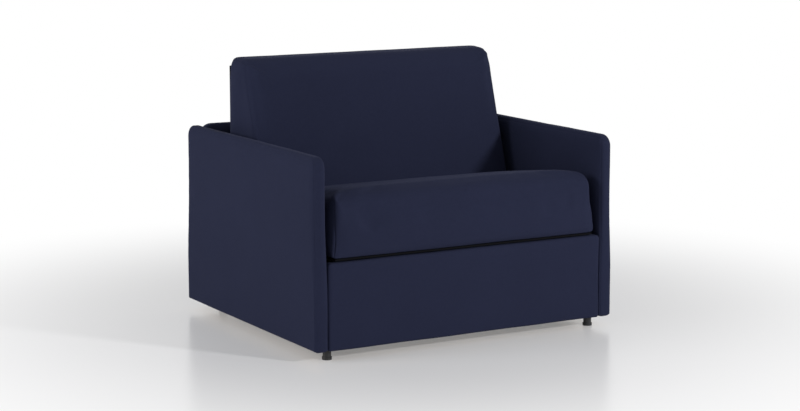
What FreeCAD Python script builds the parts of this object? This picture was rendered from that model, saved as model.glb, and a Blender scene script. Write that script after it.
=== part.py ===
import FreeCAD, Part
import Sketcher
import math
import operator
import os

# Convertible chair bed: two slim padded arms, a fixed front and rear panel, and a fold-out
# bed in three sections. Millimetres, +Z up, origin on the floor under the middle of the
# chair, the sitter faces -Y. The seat section turns over the front panel, the back section
# opens flat beyond it, and the head section rises level on two pairs of parallel links.

Vector = FreeCAD.Vector

# Driving sizes in millimetres, degrees and counts
SIZES = {
    "width": 1000,
    "depth": 860,
    "arm_height": 578,
    "arm_thickness": 42,
    "arm_corner_round": 26,
    "arm_edge_round": 11,
    "skin": 8,
    "floor_gap": 30,
    "foot_radius": 12,
    "foot_pad_height": 8,
    "foot_pad_radius": 14,
    "foot_setback": 40,
    "foot_inset": 15,
    "rear_foot_inset": 58,
    "panel_top": 280,
    "panel_thickness": 30,
    "panel_round": 7,
    "panel_play": 1,
    "rear_panel_top": 578,
    "rear_corner_round": 30,
    "base_rail_width": 18,
    "base_rail_height": 40,
    "mattress_width": 740,
    "mattress_thickness": 103,
    "mattress_round": 20,
    "mattress_lay": 0.5,
    "fold_gap": 2,
    "head_frame_lift": 4,
    "rail_size": 20,
    "slat_thickness": 8,
    "slat_width": 62,
    "head_slats": 6,
    "seat_slats": 5,
    "back_slats": 4,
    "crease_y": 62,
    "head_end_setback": 75,
    "head_rail_start_y": 132,
    "seat_rail_start_y": 92,
    "section_end_gap": 19,
    "hinge_setback": 170,
    "back_length": 482,
    "plate_thickness": 4,
    "plate_width": 20,
    "side_play": 1,
    "pin_radius": 5,
    "pin_clearance": 0.05,
    "pin_head": 1.5,
    "link_length": 240,
    "link_width": 25,
    "link_thickness": 5,
    "link_closed_angle": 19,
    "link_open_angle": 68,
    "front_link_y": 300,
    "rear_link_y": 580,
    "mount_plate_thickness": 5,
    "mount_plate_height": 84,
    "mount_plate_reach": 36,
    "leg_thickness": 4,
    "leg_width": 26,
    "leg_pivot": 220,
    "leg_side_gap": 6,
    "leg_wall_gap": 6,
    "leg_floor_gap": 1,
    "glide_height": 14,
    "glide_wall": 1.5,
    "board_thickness": 5,
    "board_inset": 8,
    "board_lay": 0.3,
    "cushion_play": 18,
    "cushion_draw": 16,
    "cushion_swell": 3,
    "joint_swell": 0.1,
    "seat_front": 4,
    "seat_back_gap": 14,
    "seat_top": 478,
    "seat_rake": 8,
    "seat_swell": 2,
    "seat_crown": 8,
    "seat_round": 42,
    "seat_base_round": 16,
    "back_top": 806,
    "back_base": 312,
    "back_top_depth": 96,
    "back_lean": 16.5,
    "back_round": 30,
    "back_swell": 2,
    "back_crown": 10,
}

doc = FreeCAD.newDocument("chair_bed")
sheet = doc.addObject("Spreadsheet::Sheet", "dims")
for row, (alias, value) in enumerate(SIZES.items(), start=1):
    sheet.set(f"A{row}", alias.replace("_", " "))
    sheet.set(f"B{row}", str(value))
    sheet.setAlias(f"B{row}", alias)
doc.recompute()

SUBPARTS = []


# A length that keeps its value and its spreadsheet expression together
class Size:
    def __init__(self, value, text):
        self.value, self.text = float(value), text

    def join(self, other, sign, work, swapped=False):
        other = other if isinstance(other, Size) else Size(other, str(other))
        first, last = (other, self) if swapped else (self, other)
        return Size(work(first.value, last.value), f"({first.text} {sign} {last.text})")

    def __add__(self, other):
        return self.join(other, "+", operator.add)

    def __radd__(self, other):
        return self.join(other, "+", operator.add, swapped=True)

    def __sub__(self, other):
        return self.join(other, "-", operator.sub)

    def __rsub__(self, other):
        return self.join(other, "-", operator.sub, swapped=True)

    def __mul__(self, other):
        return self.join(other, "*", operator.mul)

    __rmul__ = __mul__

    def __truediv__(self, other):
        return self.join(other, "/", operator.truediv)

    def __neg__(self):
        return self * -1


class Dims:
    pass


d = Dims()
for alias in SIZES:
    setattr(d, alias, Size(float(sheet.get(alias)), f"dims.{alias}"))


def value(size):
    return size.value if isinstance(size, Size) else float(size)


def bind(obj, path, size):
    if isinstance(size, Size):
        obj.setExpression(path, size.text)


def place(obj, x, y, z, turn=None):
    obj.Placement = FreeCAD.Placement(Vector(value(x), value(y), value(z)), turn or FreeCAD.Rotation())
    for letter, size in (("x", x), ("y", y), ("z", z)):
        bind(obj, f"Placement.Base.{letter}", size)


# A part that is written to a file under its own name
def keep(obj, label):
    obj.Label = label
    SUBPARTS.append(obj)
    return obj


# Part primitives, with every size bound to the sheet
def box(x, y, z, long_x, long_y, long_z):
    obj = doc.addObject("Part::Box", "box")
    for name, size in (("Length", long_x), ("Width", long_y), ("Height", long_z)):
        setattr(obj, name, value(size))
        bind(obj, name, size)
    place(obj, x, y, z)
    return obj


ALONG_X = FreeCAD.Rotation(Vector(0, 1, 0), 90)


def rod(x, y, z, radius, length, turn=None):
    obj = doc.addObject("Part::Cylinder", "rod")
    obj.Radius, obj.Height = value(radius), value(length)
    bind(obj, "Radius", radius)
    bind(obj, "Height", length)
    place(obj, x, y, z, turn)
    return obj


def together(label, pieces):
    obj = doc.addObject("Part::Compound", "group")
    obj.Links = pieces
    return keep(obj, label)


def fused(pieces):
    obj = doc.addObject("Part::MultiFuse", "fused")
    obj.Shapes = pieces
    return obj


def cut(base, tool):
    obj = doc.addObject("Part::Cut", "cut")
    obj.Base, obj.Tool = base, tool
    return obj


# Sketches on a body's own XY plane
def sketch_body(name):
    body = doc.addObject("PartDesign::Body", name)
    plane = next(o for o in body.Origin.OriginFeatures if o.Role == "XY_Plane")
    sketch = body.newObject("Sketcher::SketchObject", "outline")
    sketch.AttachmentSupport = [(plane, "")]
    sketch.MapMode = "FlatFace"
    return body, sketch


def pad(body, sketch, length):
    feature = body.newObject("PartDesign::Pad", "pad")
    feature.Profile = sketch
    feature.Length = value(length)
    bind(feature, "Length", length)
    return feature


def measured(sketch, kind, geometry, name, size):
    index = sketch.addConstraint(Sketcher.Constraint(kind, *geometry, value(size)))
    sketch.renameConstraint(index, name)
    bind(sketch, f"Constraints.{name}", size)


START, END, CENTRE = 1, 2, 3
AXES = -1


# A flat bar with round ends and a pivot hole at each end that asks for one. Its first
# pivot lies on the body's origin and its second along the body's X
def bar(label, length, width, thickness, first_hole, last_hole):
    body, sketch = sketch_body(label)
    far, half = value(length), value(width) / 2
    up = Vector(0, 0, 1)
    near_end = Part.ArcOfCircle(Part.Circle(Vector(0, 0, 0), up, half), math.pi / 2, 3 * math.pi / 2)
    far_end = Part.ArcOfCircle(Part.Circle(Vector(far, 0, 0), up, half), -math.pi / 2, math.pi / 2)
    top = Part.LineSegment(Vector(far, half, 0), Vector(0, half, 0))
    base = Part.LineSegment(Vector(0, -half, 0), Vector(far, -half, 0))
    for piece in (near_end, far_end, top, base):
        sketch.addGeometry(piece, False)
    for first, last in (((0, START), (2, END)), ((0, END), (3, START)), ((1, START), (3, END)), ((1, END), (2, START))):
        sketch.addConstraint(Sketcher.Constraint("Tangent", *first, *last))
    sketch.addConstraint(Sketcher.Constraint("Coincident", 0, CENTRE, AXES, START))
    sketch.addConstraint(Sketcher.Constraint("PointOnObject", 1, CENTRE, AXES))
    measured(sketch, "Radius", (0,), "end_radius", width / 2)
    measured(sketch, "DistanceX", (0, CENTRE, 1, CENTRE), "pivot_distance", length)
    for end, centre, hole in ((0, 0, first_hole), (1, far, last_hole)):
        if hole:
            index = sketch.addGeometry(Part.Circle(Vector(centre, 0, 0), up, value(hole)), False)
            sketch.addConstraint(Sketcher.Constraint("Coincident", index, CENTRE, end, CENTRE))
            measured(sketch, "Radius", (index,), f"hole_{index}", hole)
    pad(body, sketch, thickness)
    return body


# The turn that lays a bar in a side plane, at an angle up from the rear direction
def side_turn(angle):
    a = math.radians(angle)
    return FreeCAD.Rotation(Vector(0, math.cos(a), math.sin(a)), Vector(0, -math.sin(a), math.cos(a)),
                            Vector(1, 0, 0), "XYZ")


# A padded block with rounded upper corners and softened edges, length by height by thickness
def padded_block(name, length, height, thickness, corner, edge):
    body, sketch = sketch_body(name)
    long, high, r = value(length), value(height), value(corner)
    up = Vector(0, 0, 1)
    pieces = [
        Part.LineSegment(Vector(0, 0, 0), Vector(long, 0, 0)),
        Part.LineSegment(Vector(long, 0, 0), Vector(long, high - r, 0)),
        Part.ArcOfCircle(Part.Circle(Vector(long - r, high - r, 0), up, r), 0, math.pi / 2),
        Part.LineSegment(Vector(long - r, high, 0), Vector(r, high, 0)),
        Part.ArcOfCircle(Part.Circle(Vector(r, high - r, 0), up, r), math.pi / 2, math.pi),
        Part.LineSegment(Vector(0, high - r, 0), Vector(0, 0, 0)),
    ]
    for piece in pieces:
        sketch.addGeometry(piece, False)
    joins = (("Coincident", (0, END), (1, START)), ("Tangent", (1, END), (2, START)),
             ("Tangent", (2, END), (3, START)), ("Tangent", (3, END), (4, START)),
             ("Tangent", (4, END), (5, START)), ("Coincident", (5, END), (0, START)))
    for kind, first, last in joins:
        sketch.addConstraint(Sketcher.Constraint(kind, *first, *last))
    sketch.addConstraint(Sketcher.Constraint("Coincident", 0, START, AXES, START))
    for kind, line in (("Horizontal", 0), ("Vertical", 1), ("Horizontal", 3), ("Vertical", 5)):
        sketch.addConstraint(Sketcher.Constraint(kind, line))
    sketch.addConstraint(Sketcher.Constraint("Equal", 2, 4))
    measured(sketch, "Radius", (2,), "corner_radius", corner)
    measured(sketch, "DistanceX", (0, START, 0, END), "block_length", length)
    measured(sketch, "DistanceY", (0, START, 3, START), "block_height", height)
    feature = pad(body, sketch, thickness)
    doc.recompute()
    rounding = body.newObject("PartDesign::Fillet", "soft_edges")
    rounding.Base = (feature, rim_edges(feature.Shape))
    rounding.Radius = value(edge)
    bind(rounding, "Radius", edge)
    return body


# The edges of both broad faces, apart from the straight bottom ones
def rim_edges(shape):
    low, high = shape.BoundBox.ZMin, shape.BoundBox.ZMax
    bottom = shape.BoundBox.YMin
    names = []
    for number, edge in enumerate(shape.Edges, start=1):
        bounds = edge.BoundBox
        on_face = bounds.ZLength < SLIVER and min(abs(bounds.ZMin - low), abs(bounds.ZMin - high)) < SLIVER
        if on_face and bounds.YMax > bottom + SLIVER:
            names.append(f"Edge{number}")
    return names


SLIVER = 1e-3


# A cushion is a ruled loft across the chair. Each section is a closed outline of eight
# arcs whose sides swell outward, and it draws in towards both ends
def bow(start, end, swell):
    middle = (start + end) / 2
    side = Vector(1, 0, 0).cross(end - start).normalize()
    return Part.Arc(start, middle + side * swell, end).toShape()


def outline(x, corners, radii, swells):
    points = [Vector(x, y, z) for y, z in corners]
    count = len(points)
    leaves, arrives, bends = [], [], []
    for i, corner in enumerate(points):
        before, after = points[i - 1], points[(i + 1) % count]
        back, forth = (before - corner).normalize(), (after - corner).normalize()
        half = back.getAngle(forth) / 2
        reach = radii[i] / math.tan(half)
        inner = corner + (back + forth).normalize() * (radii[i] / math.sin(half) - radii[i])
        arrives.append(corner + back * reach)
        leaves.append(corner + forth * reach)
        bends.append(inner)
    edges = []
    for i in range(count):
        edges.append(Part.Arc(arrives[i], bends[i], leaves[i]).toShape())
        edges.append(bow(leaves[i], arrives[(i + 1) % count], swells[i]))
    return Part.Wire(edges)


# The stations of a cushion across the chair: how far out, how far drawn in and how crowned.
# Both ends round over through a quarter of an ellipse
ROUND_STEPS = 4
CROWN_STEPS = 3


def stations(half_width, draw, crown):
    side = []
    for step in range(ROUND_STEPS + 1):
        turn = math.radians(90) * step / ROUND_STEPS
        side.append((half_width - draw * (1 - math.cos(turn)), draw * (1 - math.sin(turn)), 0.0))
    flat = half_width - draw
    for step in range(1, CROWN_STEPS + 1):
        share = step / CROWN_STEPS
        side.append((flat * (1 - share), 0.0, crown * math.sin(math.radians(90) * share)))
    return [(-x, inset, rise) for x, inset, rise in side[:-1]] + list(reversed(side))


def cushion(label, half_width, draw, crown, section):
    wires = [section(x, inset, rise) for x, inset, rise in stations(half_width, draw, crown)]
    obj = doc.addObject("Part::Feature", label)
    obj.Shape = Part.makeLoft(wires, True, True)
    return keep(obj, label)


# Places that several pieces share, measured across the chair
inner = d.width / 2 - d.arm_thickness
front = -(d.depth / 2)
leg_out = inner - d.mount_plate_thickness - d.leg_wall_gap
leg_in = leg_out - d.leg_thickness
link_out = leg_in - d.leg_side_gap
link_in = link_out - d.link_thickness
seat_rail_out = link_in - d.side_play - d.plate_thickness
seat_rail_in = seat_rail_out - d.rail_size
rail_out = seat_rail_out - d.side_play - d.plate_thickness
rail_in = rail_out - d.rail_size
cushion_half = inner - d.cushion_play

# Heights of the folded stack, from the head section's frame up to the seat board
head_frame_z = d.floor_gap + d.head_frame_lift
head_mattress_z = head_frame_z + d.rail_size + d.mattress_lay
crease_z = head_mattress_z + d.mattress_thickness + d.fold_gap / 2
seat_mattress_z = crease_z + d.fold_gap / 2
seat_frame_z = seat_mattress_z + d.mattress_thickness + d.mattress_lay
seat_board_z = seat_frame_z + d.rail_size + d.board_lay
seat_cushion_z = seat_board_z + d.board_thickness + d.board_lay
crease_y = front + d.crease_y
hinge_y = -front - d.hinge_setback
head_end = -front - d.head_end_setback
hinge_z = seat_frame_z + d.rail_size / 2
back_z = hinge_z + d.section_end_gap - d.plate_thickness
head_axis_z = head_frame_z + d.rail_size / 2
hole = d.pin_radius + d.pin_clearance
SIDES = (("left", -1), ("right", 1))


# The low X of a piece that spans from near to far on one side
def near_x(side, near, far):
    return near if side > 0 else -far


def side_box(side, near, far, y, z, long_y, long_z):
    return box(near_x(side, near, far), y, z, far - near, long_y, long_z)


def side_bar(label, side, near, far, y, z, length, width, angle, first_hole, last_hole):
    piece = bar(label, length, width, far - near, first_hole, last_hole)
    place(piece, near_x(side, near, far), y, z, side_turn(angle))
    return keep(piece, label)


def side_pin(side, near, far, y, z, radius):
    return rod(near_x(side, near, far), y, z, radius, far - near, ALONG_X)


# Arms and panels: a board inside a padded cover that is open underneath
ACROSS = FreeCAD.Rotation(Vector(1, 0, 0), Vector(0, 0, 1), Vector(0, -1, 0), "XYZ")


def upholstered(name, x, y, length, height, thickness, corner, edge, turn):
    block = padded_block(f"{name}_block", length, height, thickness, corner, edge)
    place(block, x, y, d.floor_gap, turn)
    board = doc.addObject("Part::Box", "board")
    slim, short, low = thickness - d.skin * 2, length - d.skin * 2, height - d.skin
    for side, size in (("Length", short), ("Width", low), ("Height", slim)):
        setattr(board, side, value(size))
        bind(board, side, size)
    inset = turn.multVec(Vector(1, 0, 1))
    place(board, x + d.skin * round(inset.x), y + d.skin * round(inset.y), d.floor_gap, turn)
    keep(board, f"{name}_board")
    keep(cut(block, board), f"{name}_cover")


for word, side in SIDES:
    upholstered(f"{word}_arm", near_x(side, inner, d.width / 2), front, d.depth, d.arm_height - d.floor_gap,
                d.arm_thickness, d.arm_corner_round, d.arm_edge_round, side_turn(0))
panel_half = inner - d.panel_play
upholstered("front_panel", -panel_half, front + d.panel_thickness, panel_half * 2, d.panel_top - d.floor_gap,
            d.panel_thickness, d.panel_round, d.panel_round, ACROSS)
upholstered("rear_panel", -panel_half, -front, panel_half * 2, d.rear_panel_top - d.floor_gap,
            d.panel_thickness, d.rear_corner_round, d.panel_round, ACROSS)

# Base rails tie the arms together inside the chair
rail_back = front + d.panel_thickness
rail_long = d.depth - d.panel_thickness * 2
for word, side in SIDES:
    keep(side_box(side, inner - d.base_rail_width, inner, rail_back, d.floor_gap, rail_long, d.base_rail_height),
         f"{word}_base_rail")
cross_half = inner - d.base_rail_width
keep(box(-cross_half, rail_back, d.floor_gap, cross_half * 2, d.base_rail_width, d.base_rail_height), "front_base_rail")
keep(box(-cross_half, -rail_back - d.base_rail_width, d.floor_gap, cross_half * 2, d.base_rail_width,
         d.base_rail_height), "rear_base_rail")

# Four short round feet, each a stem on a wider pad
for word, side in SIDES:
    for end, inset, y in (("front", d.foot_inset, front + d.foot_setback),
                          ("rear", d.rear_foot_inset, -front - d.foot_setback)):
        x = (inner - inset) * side
        stem = rod(x, y, d.foot_pad_height, d.foot_radius, d.floor_gap - d.foot_pad_height)
        sole = rod(x, y, 0, d.foot_pad_radius, d.foot_pad_height)
        keep(fused([stem, sole]), f"{end}_{word}_foot")

# Each arm carries a steel plate for the two pins on which its lift links swing
fall = math.sin(math.radians(value(d.link_closed_angle)))
run = math.cos(math.radians(value(d.link_closed_angle)))
pivot_z = head_axis_z + d.link_length * fall
link_places = (("front", front + d.front_link_y), ("rear", front + d.rear_link_y))
for word, side in SIDES:
    plate_start = front + d.front_link_y - d.link_length * run - d.mount_plate_reach
    plate_long = d.rear_link_y - d.front_link_y + d.mount_plate_reach * 2
    keep(side_box(side, inner - d.mount_plate_thickness, inner, plate_start, d.floor_gap + d.base_rail_height,
                  plate_long, d.mount_plate_height), f"{word}_mechanism_plate")
    for end, y in link_places:
        side_bar(f"{end}_{word}_lift_link", side, link_in, link_out, y - d.link_length * run, pivot_z,
                 d.link_length, d.link_width, -value(d.link_closed_angle), hole, hole)


# A bed frame is two side rails and two end rails, with slats between the side rails
def frame_flat(label, rail_x, y, z, long_y):
    gap = d.rail_size
    rails = [side_box(side, rail_x, rail_x + gap, y, z, long_y, gap) for word, side in SIDES]
    ends = [box(-rail_x, end, z, rail_x * 2, gap, gap) for end in (y, y + long_y - gap)]
    return together(label, rails + ends)


def slat_places(start, reach, count, width):
    step = (reach - width) / (count - 1)
    return [start + step * i for i in range(count)]


def slats_flat(label, rail_x, y, z, long_y, count):
    room_start, room = y + d.rail_size * 2, long_y - d.rail_size * 4
    rows = slat_places(room_start, room, int(value(count)), d.slat_width)
    return together(label, [box(-rail_x, row, z, rail_x * 2, d.slat_width, d.slat_thickness) for row in rows])


# Foam mattress sections, one to each frame, with rounded long edges
def mattress(label, y0, y1, z0, z1, radii):
    def section(x, inset, rise):
        low, high = value(y0) + inset, value(y1) - inset
        base, top = value(z0) + inset, value(z1) - inset
        corners = ((low, base), (low, top), (high, top), (high, base))
        return outline(x, corners, [value(r) for r in radii], [value(d.joint_swell)] * 4)
    return cushion(label, value(d.mattress_width / 2), value(d.mattress_round) / 2, 0.0, section)


small = d.mattress_round / 3
head_start = front + d.head_rail_start_y
head_long = head_end - head_start
frame_flat("head_frame", rail_in, head_start, head_frame_z, head_long)
slats_flat("head_slats", rail_in, head_start, head_frame_z + d.rail_size - d.slat_thickness, head_long, d.head_slats)
mattress("head_mattress", crease_y + d.mattress_lay, head_end, head_mattress_z, head_mattress_z + d.mattress_thickness,
         (d.mattress_round * 1.4, small, d.mattress_round, d.mattress_round))

seat_start = front + d.seat_rail_start_y
seat_long = hinge_y - d.section_end_gap - seat_start
frame_flat("seat_frame", seat_rail_in, seat_start, seat_frame_z, seat_long)
slats_flat("seat_slats", seat_rail_in, seat_start, seat_frame_z, seat_long, d.seat_slats)
mattress("middle_mattress", crease_y + d.mattress_lay, hinge_y - d.mattress_lay * 8, seat_mattress_z,
         seat_mattress_z + d.mattress_thickness, (small, d.mattress_round * 1.2, small, small))

# The back section stands upright when folded
back_face = hinge_y - d.rail_size / 2
back_rails = [side_box(side, rail_in, rail_out, back_face, back_z, d.rail_size, d.back_length) for word, side in SIDES]
back_ends = [box(-rail_in, back_face, z, rail_in * 2, d.rail_size, d.rail_size)
             for z in (back_z, back_z + d.back_length - d.rail_size)]
together("back_frame", back_rails + back_ends)
back_rows = slat_places(back_z + d.rail_size * 2, d.back_length - d.rail_size * 4, int(value(d.back_slats)), d.slat_width)
together("back_slats", [box(-rail_in, back_face + d.rail_size - d.slat_thickness, row, rail_in * 2, d.slat_thickness,
                            d.slat_width) for row in back_rows])
back_rear = back_face + d.rail_size + d.mattress_lay
mattress("foot_mattress", back_rear, back_rear + d.mattress_thickness, back_z, back_z + d.back_length,
         (small, d.mattress_round, d.mattress_round, small))

# Crease hinges join the head and seat sections at the fold of the mattress
head_corner = (head_start + d.rail_size, head_axis_z)
seat_corner = (seat_start + d.rail_size, hinge_z)


def hinge_plate(label, side, near, far, pivot, anchor, pivot_hole):
    rise, reach = value(anchor[1] - pivot[1]), value(anchor[0] - pivot[0])
    length = math.hypot(reach, rise)
    return side_bar(label, side, near, far, pivot[0], pivot[1], Size(length, repr(length)), d.plate_width,
                    math.degrees(math.atan2(rise, reach)), pivot_hole, None)


crease = (crease_y, crease_z)
back_hinge = (hinge_y, hinge_z)
for word, side in SIDES:
    hinge_plate(f"{word}_head_hinge_plate", side, rail_out, rail_out + d.plate_thickness, crease, head_corner, hole)
    hinge_plate(f"{word}_seat_hinge_plate", side, seat_rail_out, seat_rail_out + d.plate_thickness, crease,
                seat_corner, hole)
    hinge_plate(f"{word}_seat_rear_plate", side, seat_rail_out, seat_rail_out + d.plate_thickness, back_hinge,
                (hinge_y - d.section_end_gap * 3, hinge_z), hole)
    hinge_plate(f"{word}_back_hinge_plate", side, rail_out, rail_out + d.plate_thickness, back_hinge,
                (hinge_y, hinge_z + d.section_end_gap * 3), hole)

# Leg bars hang upright from the back section and come down to the floor with it
lean = math.radians(value(d.link_open_angle))
open_lift = d.link_length * (math.sin(lean) + fall)
bed_frame_z = crease_z + open_lift - (hinge_z - crease_z)
leg_length = bed_frame_z - d.leg_floor_gap - d.glide_wall * 2
leg_z = hinge_z + d.leg_pivot
for word, side in SIDES:
    side_bar(f"{word}_leg", side, leg_in, leg_out, hinge_y, leg_z, leg_length - d.leg_width / 2, d.leg_width,
             -90, hole, None)
    tip_z = leg_z - leg_length
    cap = side_box(side, leg_in - d.glide_wall, leg_out + d.glide_wall, hinge_y - d.leg_width / 2 - d.glide_wall,
                   tip_z - d.glide_wall * 2, d.leg_width + d.glide_wall * 2, d.glide_height)
    keep(cut(cap, doc.getObjectsByLabel(f"{word}_leg")[0]), f"{word}_leg_glide")

# Pins on which the lift links swing, fixed to the mechanism plates
together("lift_pivot_pins", [side_pin(side, link_in - d.pin_head, inner - d.mount_plate_thickness,
                                      y - d.link_length * run, pivot_z, d.pin_radius)
                             for word, side in SIDES for end, y in link_places])

# Pins that join the moving sections
together("lift_link_pins", [side_pin(side, rail_out, link_out + d.pin_head, y, head_axis_z, d.pin_radius)
                            for word, side in SIDES for end, y in link_places])
together("crease_pins", [side_pin(side, rail_out - d.plate_thickness / 2, seat_rail_out + d.plate_thickness, *crease,
                                  d.pin_radius) for word, side in SIDES])
together("back_hinge_pins", [side_pin(side, rail_out - d.plate_thickness / 2, seat_rail_out + d.plate_thickness,
                                      *back_hinge, d.pin_radius) for word, side in SIDES])
together("leg_pins", [side_pin(side, rail_out, leg_out + d.pin_head, hinge_y, leg_z, d.pin_radius)
                      for word, side in SIDES])

# Boards carry the seat and back cushions on the outer side of their frames
seat_board_half = cushion_half - d.board_inset
back_board_y = back_face - d.board_lay - d.board_thickness
keep(box(-seat_board_half, back_board_y, back_z + d.board_inset, seat_board_half * 2, d.board_thickness,
         d.back_length - d.board_inset), "back_board")


back_rear_y = back_board_y - d.board_lay
face_slope = math.tan(math.radians(value(d.back_lean)))


# Where the back cushion's leaning face lies at a height
def back_face_y(z):
    return back_rear_y - d.back_top_depth - (d.back_top - z) * face_slope


# The seat's top falls from its front edge to the back cushion
rake = math.tan(math.radians(value(d.seat_rake)))
rear_top = value(d.seat_top) - rake * (value(back_face_y(d.seat_top)) - value(front))


def seat_section(x, inset, rise):
    low, base = value(front + d.seat_front) + inset, value(seat_cushion_z)
    top, back_top = value(d.seat_top) - inset, rear_top - inset
    high = value(back_face_y(back_top) - d.seat_back_gap) - inset
    high_base = value(back_face_y(base) - d.seat_back_gap) - inset
    corners = ((low, base), (low, top), (high, back_top), (high_base, base))
    soft = value(d.seat_round)
    swells = (value(d.cushion_swell), value(d.seat_swell) + rise, value(d.joint_swell), value(d.joint_swell))
    return outline(x, corners, (value(d.seat_base_round), soft, soft / 3, soft / 4), swells)


keep(box(-seat_board_half, front + d.board_inset, seat_board_z, seat_board_half * 2,
         back_face_y(d.back_base) - d.seat_back_gap - front - d.board_inset * 2, d.board_thickness), "seat_board")
cushion("seat_cushion", value(cushion_half), value(d.cushion_draw), value(d.seat_crown), seat_section)


# The back cushion is a wedge: upright behind, its face leaning back
def back_section(x, inset, rise):
    rear = value(back_rear_y)
    top, base = value(d.back_top) - inset, value(d.back_base) + inset / 2
    face_top, face_base = value(back_face_y(top)) + inset, value(back_face_y(base)) + inset
    corners = ((face_base, base), (face_top, top), (rear, top), (rear, base))
    soft = value(d.back_round)
    swells = (value(d.back_swell) + rise, value(d.cushion_swell), value(d.joint_swell), value(d.joint_swell))
    return outline(x, corners, (soft * 0.8, soft, soft * 0.8, soft / 3), swells)


cushion("back_cushion", value(cushion_half), value(d.cushion_draw), value(d.back_crown), back_section)

doc.recompute()
for obj in doc.Objects:
    if {"Invalid", "Error"} & set(obj.State):
        raise RuntimeError(f"{obj.Label}: {obj.State}")
os.makedirs("parts", exist_ok=True)
for obj in SUBPARTS:
    if obj.Shape.isNull() or not obj.Shape.isValid():
        raise RuntimeError(f"{obj.Label} has no valid shape")
    obj.Shape.exportStep(f"parts/{obj.Label}.step")
    bounds = obj.Shape.BoundBox
    print(f"{obj.Label}: {len(obj.Shape.Solids)} solids, {obj.Shape.Volume / 1000:.0f} cc,"
          f" x {bounds.XMin:.1f} {bounds.XMax:.1f} y {bounds.YMin:.1f} {bounds.YMax:.1f}"
          f" z {bounds.ZMin:.1f} {bounds.ZMax:.1f}")
print(len(SUBPARTS), "sub-parts")
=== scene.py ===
import math

import bpy
import numpy as np
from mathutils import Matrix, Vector, noise


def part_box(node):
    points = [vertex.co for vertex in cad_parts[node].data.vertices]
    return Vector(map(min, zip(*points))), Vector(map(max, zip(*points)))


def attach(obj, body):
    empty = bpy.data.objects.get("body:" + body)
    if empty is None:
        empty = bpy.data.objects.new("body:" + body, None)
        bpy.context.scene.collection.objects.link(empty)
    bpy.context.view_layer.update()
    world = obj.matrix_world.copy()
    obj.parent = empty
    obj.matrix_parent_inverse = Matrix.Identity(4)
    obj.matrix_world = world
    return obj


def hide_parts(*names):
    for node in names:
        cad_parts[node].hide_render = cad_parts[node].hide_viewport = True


bl_info = {
    "name": "Chair Bed",
    "version": (1, 0, 0),
    "blender": (4, 5, 0),
    "location": "3D View > Sidebar > Chair Bed",
    "description": "Upholstery, mattress and finishes of a slim-armed fold-out chair bed",
    "category": "Object",
}

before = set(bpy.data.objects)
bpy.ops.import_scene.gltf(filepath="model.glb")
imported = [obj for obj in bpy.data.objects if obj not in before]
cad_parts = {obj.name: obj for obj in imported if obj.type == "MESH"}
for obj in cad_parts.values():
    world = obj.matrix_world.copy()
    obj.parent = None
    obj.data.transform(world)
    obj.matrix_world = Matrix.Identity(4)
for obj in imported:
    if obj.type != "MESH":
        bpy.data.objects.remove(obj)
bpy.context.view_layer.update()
MM = 0.001
SIDES = (("left", -1), ("right", 1))


def linear(hex_colour):
    """An sRGB hex colour as linear red, green, blue and alpha."""
    shares = [int(hex_colour[i:i + 2], 16) / 255 for i in (1, 3, 5)]
    light = (s / 12.92 if s <= 0.04045 else ((s + 0.055) / 1.055) ** 2.4 for s in shares)
    return tuple(light) + (1.0,)


# Colours in sRGB
NAVY = "#2A2E44"
NAVY_DEEP = "#202337"
NAVY_SHEEN = "#8C93B5"
# The lining colours are near-black: partly the lining's own charcoal, partly painted shade of the
# gaps under the cushions
LINING_AND_GAP_SHADE = "#0C0C0F"
LINING_FIBRE_AND_GAP_SHADE = "#15161A"
TICKING = "#E6E3DA"
TICKING_SHADE = "#CFCBC0"
BORDER = "#B9BDC4"
BORDER_CELL = "#6E737C"
BINDING = "#8C929C"
BINDING_SHADE = "#6B717C"
BEECH = "#CDA373"
BEECH_DARK = "#A97C4E"
BEECH_FLECK = "#7C5633"
BIRCH = "#CBB088"
BIRCH_DARK = "#A1835A"
POWDER_COAT = "#26282C"
POWDER_COAT_PALE = "#3A3D42"
ZINC = "#B4B6B8"
ZINC_DARK = "#8E9194"
BLACK_PLASTIC = "#17181A"
BLACK_PLASTIC_WORN = "#26272A"
FLOOR = "#F6F6F8"


class ChairBedFabric(bpy.types.PropertyGroup):
    cover: bpy.props.FloatVectorProperty(
        name="Cover colour", description="Colour of the upholstery fabric", subtype="COLOR",
        size=4, min=0, max=1, default=linear(NAVY))
    cover_shade: bpy.props.FloatVectorProperty(
        name="Cover shade", description="Darker threads of the upholstery fabric", subtype="COLOR",
        size=4, min=0, max=1, default=linear(NAVY_DEEP))
    ticking: bpy.props.FloatVectorProperty(
        name="Ticking colour", description="Colour of the mattress cover", subtype="COLOR",
        size=4, min=0, max=1, default=linear(TICKING))
    thread_pitch: bpy.props.FloatProperty(
        name="Thread pitch", description="Distance from one thread of the cover to the next",
        subtype="DISTANCE", unit="LENGTH", default=2.4 * MM, min=0.5 * MM, max=8 * MM)


class ChairBedSizes(bpy.types.PropertyGroup):
    seam_width: bpy.props.FloatProperty(
        name="Seam width", description="Width of the pulled-in line along a seam",
        subtype="DISTANCE", unit="LENGTH", default=2.6 * MM, min=0.5 * MM, max=10 * MM)
    seam_depth: bpy.props.FloatProperty(
        name="Seam depth", description="How far a seam pulls the cover in",
        subtype="DISTANCE", unit="LENGTH", default=0.7 * MM, min=0, max=6 * MM)
    unevenness: bpy.props.FloatProperty(
        name="Unevenness", description="Height of the soft waves in the padded surfaces",
        subtype="DISTANCE", unit="LENGTH", default=1.3 * MM, min=0, max=6 * MM)
    quilt_pitch: bpy.props.FloatProperty(
        name="Quilting pitch",
        description="Distance from one sewn line of the mattress to the next",
        subtype="DISTANCE", unit="LENGTH", default=88 * MM, min=20 * MM, max=300 * MM)


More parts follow.
